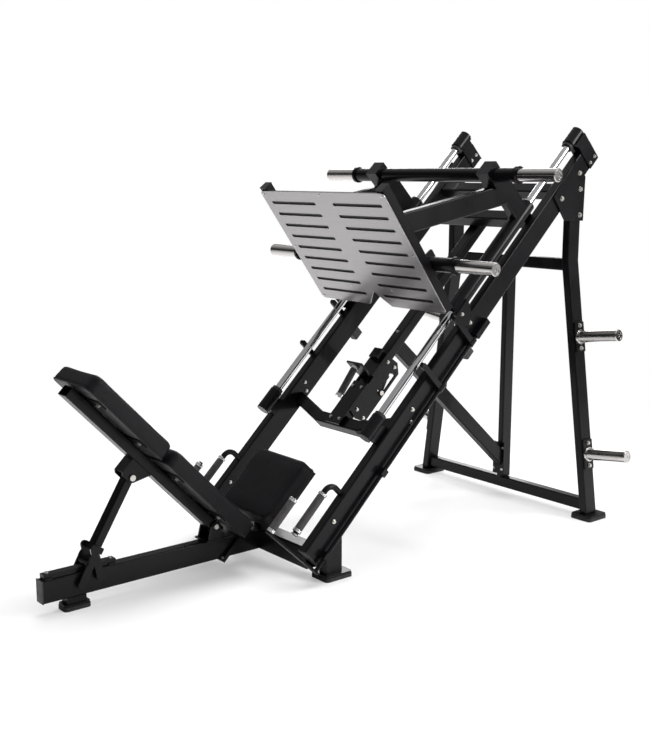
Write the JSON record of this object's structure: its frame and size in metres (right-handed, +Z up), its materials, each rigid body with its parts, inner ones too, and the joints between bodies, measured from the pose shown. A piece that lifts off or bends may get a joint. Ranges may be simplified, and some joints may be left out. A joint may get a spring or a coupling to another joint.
{
  "type": "incline leg press machine",
  "caption": "Plate-loaded incline leg press: slotted footplate carriage on inclined guide rods, reclining back pad, seat, release levers and plate storage horns.",
  "frame": {"origin": "on the floor, at the middle of the machine's length and on its centre plane", "axes": "+X runs from the head end to the weight end, +Y to the seated user's left, +Z up"},
  "size_m": [2.4116, 1.3386, 1.6359],
  "materials": {
    "black_powder_coat": "satin black powder coat with a fine orange peel",
    "black_cap": "moulded black end caps",
    "foot_rubber": "matte black rubber",
    "buffer_rubber": "matte black rubber",
    "polished_rod": "ground and hard chromed",
    "horn_chrome": "bright chrome",
    "pad_cover": "black grained upholstery",
    "grip_rubber": "dark grey moulded rubber grip",
    "collar_metal": "turned and polished",
    "bolt_zinc": "zinc plated",
    "plate_steel": "brushed stainless sheet",
    "bearing_steel": "ground"
  },
  "bodies": {
    "frame": {"base_beam": "black_powder_coat", "end_caps": "black_cap", "recline_track": "black_powder_coat", "hinge_lugs": "black_powder_coat", "beam_flanges": "black_powder_coat", "lower_cross_beam": "black_powder_coat", "rail_right": "black_powder_coat", "rail_left": "black_powder_coat", "rail_posts": "black_powder_coat", "foot_plates": "black_powder_coat", "rubber_feet": "foot_rubber", "v_cross_bar": "black_powder_coat", "centre_beam": "black_powder_coat", "limiter_rack_plates": "black_powder_coat", "upper_cross_bars": "black_powder_coat", "centre_brace": "black_powder_coat", "rear_uprights": "black_powder_coat", "centre_upright": "black_powder_coat", "rear_bars": "black_powder_coat", "gusset_plates": "black_powder_coat", "guide_rods": "polished_rod", "lower_rod_brackets": "black_powder_coat", "upper_rod_brackets": "black_powder_coat", "rubber_buffers": "buffer_rubber", "storage_horns": "horn_chrome", "storage_flanges": "black_powder_coat", "seat_bracket": "black_powder_coat", "seat_pad": "pad_cover", "seat_handles": "black_powder_coat", "seat_handle_grips": "grip_rubber", "seat_handle_collars": "collar_metal", "shaft_bearings": "black_powder_coat", "frame_bolts": "bolt_zinc"},
    "carriage": {"bearing_housings": "black_powder_coat", "linear_bearings": "bearing_steel", "carriage_arms": "black_powder_coat", "footplate_frame": "black_powder_coat", "footplate": "plate_steel", "carriage_fasteners": "bolt_zinc", "horn_bars": "black_powder_coat", "horn_collars": "black_powder_coat", "horn_sleeves": "horn_chrome", "catch_plates": "black_powder_coat"},
    "release_right": {"release_lever_right": "black_powder_coat", "release_grip_right": "grip_rubber", "release_collars_right": "collar_metal"},
    "release_left": {"release_lever_left": "black_powder_coat", "release_grip_left": "grip_rubber", "release_collars_left": "collar_metal"},
    "backrest": {"back_frame": "black_powder_coat", "back_pad_bars": "black_powder_coat", "back_pad_upper": "pad_cover", "back_pad_lower": "pad_cover", "back_bolts": "bolt_zinc"},
    "strut": {"prop_strut": "black_powder_coat"},
    "limiter": {"limiter_slider": "black_powder_coat", "limiter_grip": "grip_rubber", "limiter_collars": "collar_metal"},
    "limiter_latch": {"limiter_pin": "bolt_zinc"}
  },
  "joints": [
    {"name": "carriage_slide", "type": "slide", "parent": "frame", "child": "carriage", "axis": [0.7193, 0, 0.6947], "range_m": [0, 0.318]},
    {"name": "release_right_swing", "type": "hinge", "parent": "frame", "child": "release_right", "pos_m": [-0.26342, -0.366, 0.11632], "axis": [0.7193, 0, 0.6947], "range_deg": [0, 60]},
    {"name": "release_left_swing", "type": "hinge", "parent": "frame", "child": "release_left", "pos_m": [-0.26342, 0.366, 0.11632], "axis": [-0.7193, 0, -0.6947], "range_deg": [0, 60]},
    {"name": "back_recline", "type": "hinge", "parent": "frame", "child": "backrest", "pos_m": [-0.53142, 0, 0.17935], "axis": [0, 1, 0], "range_deg": [-13, 6]},
    {"name": "strut_pivot", "type": "hinge", "parent": "backrest", "child": "strut", "pos_m": [-0.86279, 0, 0.42028], "axis": [0, 1, 0], "range_deg": [-17, 37]},
    {"name": "limiter_slide", "type": "slide", "parent": "frame", "child": "limiter", "axis": [0.7193, 0, 0.6947], "range_m": [0, 0.084]},
    {"name": "limiter_pin_lift", "type": "slide", "parent": "limiter", "child": "limiter_latch", "axis": [-0.6947, 0, 0.7193], "range_m": [0, 0.012]}
  ],
  "couplings": [
    {"joint": "strut_pivot", "follows": "back_recline", "ratio": -2.8}
  ]
}
